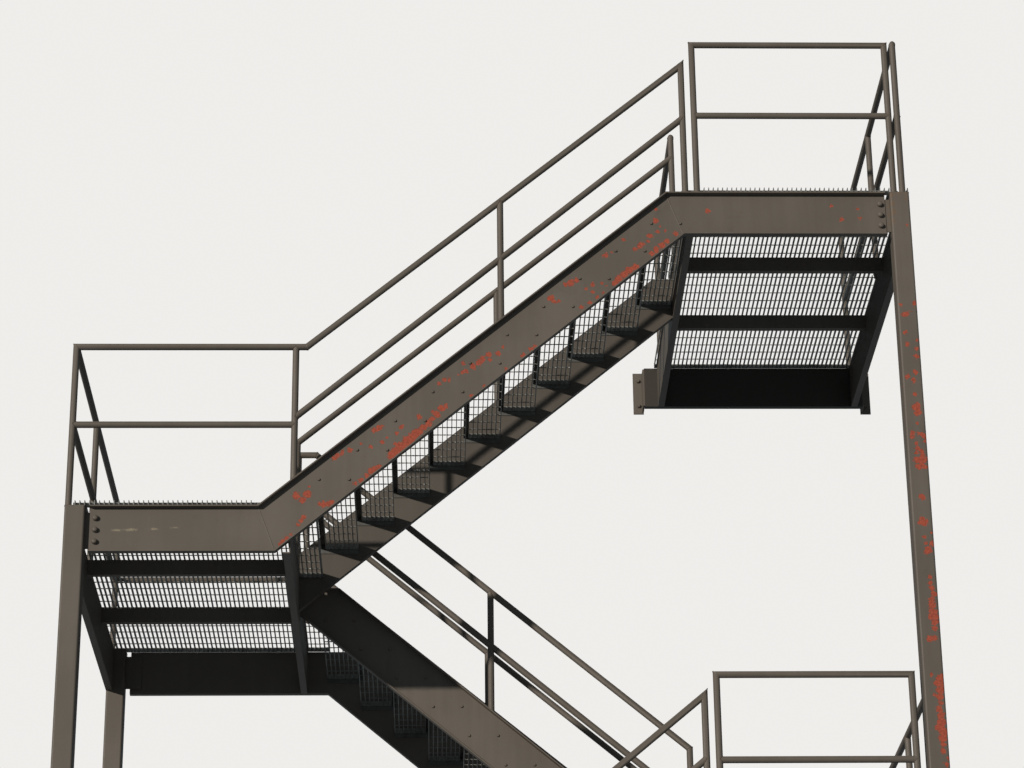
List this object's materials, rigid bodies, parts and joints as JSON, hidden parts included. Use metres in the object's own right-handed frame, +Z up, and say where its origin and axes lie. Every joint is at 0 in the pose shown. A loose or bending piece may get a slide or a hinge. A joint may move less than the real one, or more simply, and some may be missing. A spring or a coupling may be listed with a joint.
{
  "type": "fire escape stair tower",
  "caption": "Open steel switchback fire escape stair with bar grating treads and landings, channel stringers, pipe guards, square posts and wall brackets.",
  "frame": {"origin": "on the ground, under the middle of the tower's bounding box", "axes": "+Z up; +X along the wall, to the right seen from the street; +Y into the wall"},
  "size_m": [5.5676, 3.0066, 9.856],
  "materials": {
    "post_steel": "satin charcoal bronze paint, chipped",
    "frame_steel": "satin charcoal bronze paint, chipped",
    "guard_steel": "satin charcoal bronze paint",
    "grating_steel": "dull dark grey, worn"
  },
  "bodies": {
    "root": {"front_left_post": "post_steel", "rear_left_post": "post_steel", "front_right_post": "post_steel", "flight_1_wall_stringer": "frame_steel", "flight_1_inner_stringer": "frame_steel", "flight_1_treads": "grating_steel", "flight_1_wall_guard": "guard_steel", "flight_1_inner_guard": "guard_steel", "flight_2_outer_stringer": "frame_steel", "flight_2_inner_stringer": "frame_steel", "flight_2_treads": "grating_steel", "flight_2_outer_guard": "guard_steel", "flight_2_inner_guard": "guard_steel", "flight_3_wall_stringer": "frame_steel", "flight_3_inner_stringer": "frame_steel", "flight_3_treads": "grating_steel", "flight_3_wall_guard": "guard_steel", "flight_3_inner_guard": "guard_steel", "flight_4_outer_stringer": "frame_steel", "flight_4_inner_stringer": "frame_steel", "flight_4_treads": "grating_steel", "flight_4_outer_guard": "guard_steel", "flight_4_inner_guard": "guard_steel", "landing_1_frame": "frame_steel", "landing_1_grating": "grating_steel", "landing_1_side_guard": "guard_steel", "landing_2_frame": "frame_steel", "landing_2_grating": "grating_steel", "landing_2_front_guard": "guard_steel", "landing_2_side_guard": "guard_steel", "landing_2_wall_brackets": "frame_steel", "landing_3_frame": "frame_steel", "landing_3_grating": "grating_steel", "landing_3_side_guard": "guard_steel", "landing_4_frame": "frame_steel", "landing_4_grating": "grating_steel", "landing_4_front_guard": "guard_steel", "landing_4_side_guard": "guard_steel", "landing_4_left_guard": "guard_steel", "landing_4_rear_beam": "frame_steel", "landing_4_wall_brackets": "frame_steel"}
  },
  "joints": []
}
